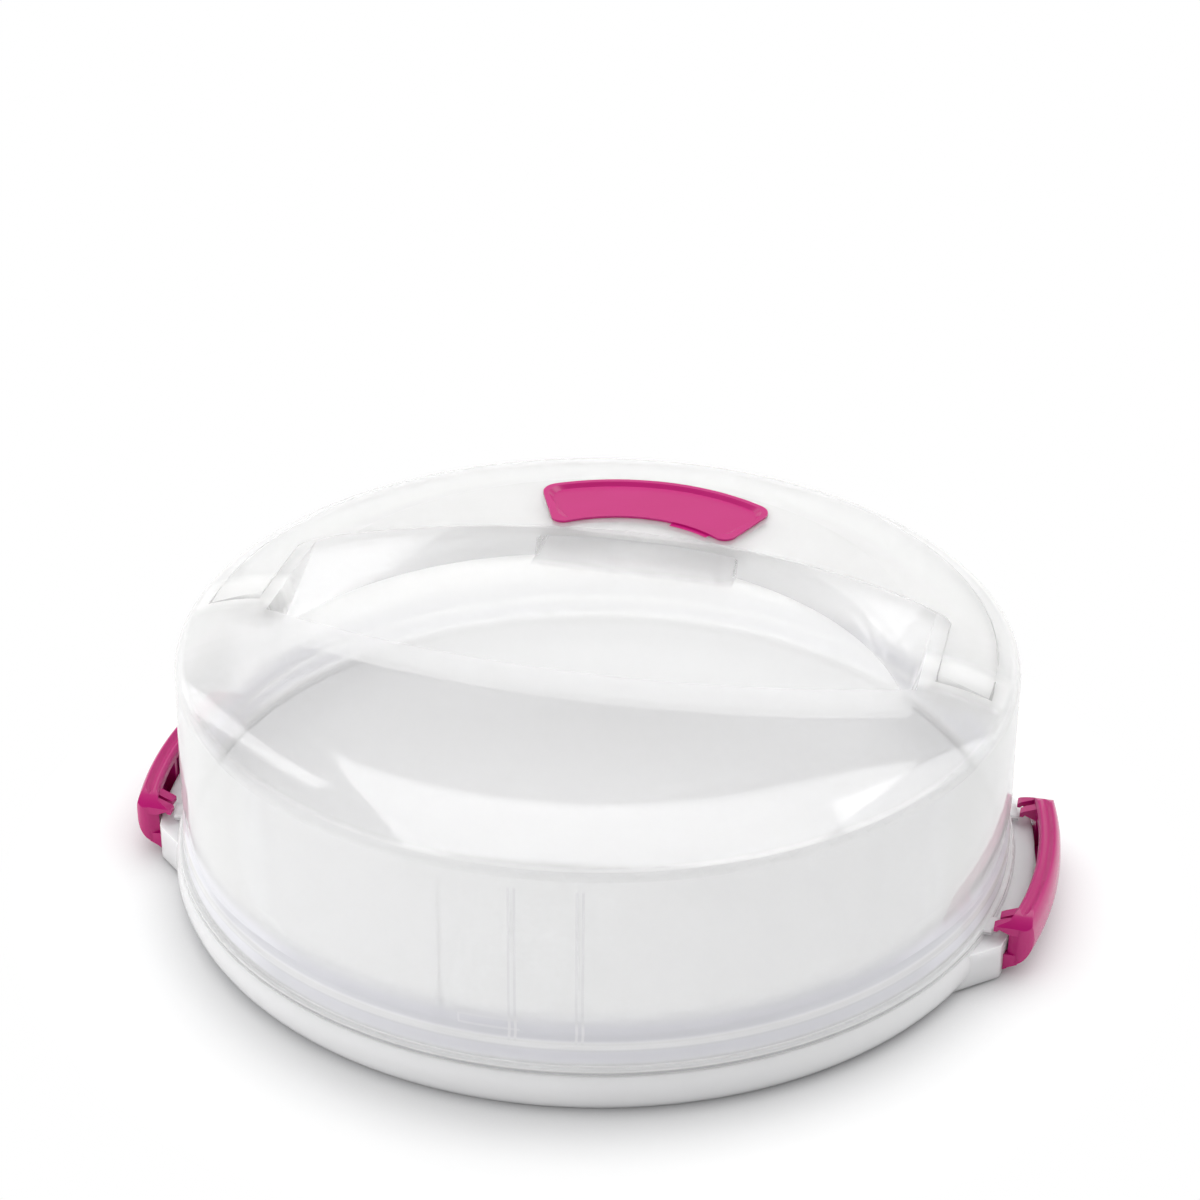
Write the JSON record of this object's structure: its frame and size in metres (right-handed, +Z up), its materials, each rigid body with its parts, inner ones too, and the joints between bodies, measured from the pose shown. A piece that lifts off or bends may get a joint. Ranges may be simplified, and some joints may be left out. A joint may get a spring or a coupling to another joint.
{
  "type": "cake carrier",
  "caption": "Round cake carrier: a shallow tray, a translucent lift-off lid with a folding carry handle, and swing-out side clips that hold the lid.",
  "frame": {"origin": "centre of the face that the tray stands on", "axes": "+Z up, +X towards the right clip, +Y towards the grip of the folded handle"},
  "size_m": [0.3788, 0.3444, 0.1106],
  "materials": {
    "white_plastic": "opaque white polypropylene, satin gloss",
    "milky_plastic": "milky translucent polypropylene, thin wall, glossy",
    "pink_plastic": "opaque magenta pink plastic, glossy"
  },
  "bodies": {
    "tray": {"tray": "white_plastic"},
    "lid": {"lid": "milky_plastic"},
    "handle": {"carry_handle": "milky_plastic", "handle_grip": "pink_plastic"},
    "right_clip": {"right_clip": "pink_plastic"},
    "left_clip": {"left_clip": "pink_plastic"}
  },
  "joints": [
    {"name": "lid_lift", "type": "slide", "parent": "tray", "child": "lid", "axis": [0, 0, 1], "range_m": [0, 0.15]},
    {"name": "handle_fold", "type": "hinge", "parent": "lid", "child": "handle", "pos_m": [0, -0.009, 0.1024], "axis": [1, 0, 0], "range_deg": [0, 90]},
    {"name": "right_clip_hinge", "type": "hinge", "parent": "tray", "child": "right_clip", "pos_m": [0.172, 0, 0.006], "axis": [0, 1, 0], "range_deg": [0, 28]},
    {"name": "left_clip_hinge", "type": "hinge", "parent": "tray", "child": "left_clip", "pos_m": [-0.172, 0, 0.006], "axis": [0, -1, 0], "range_deg": [0, 28]}
  ]
}
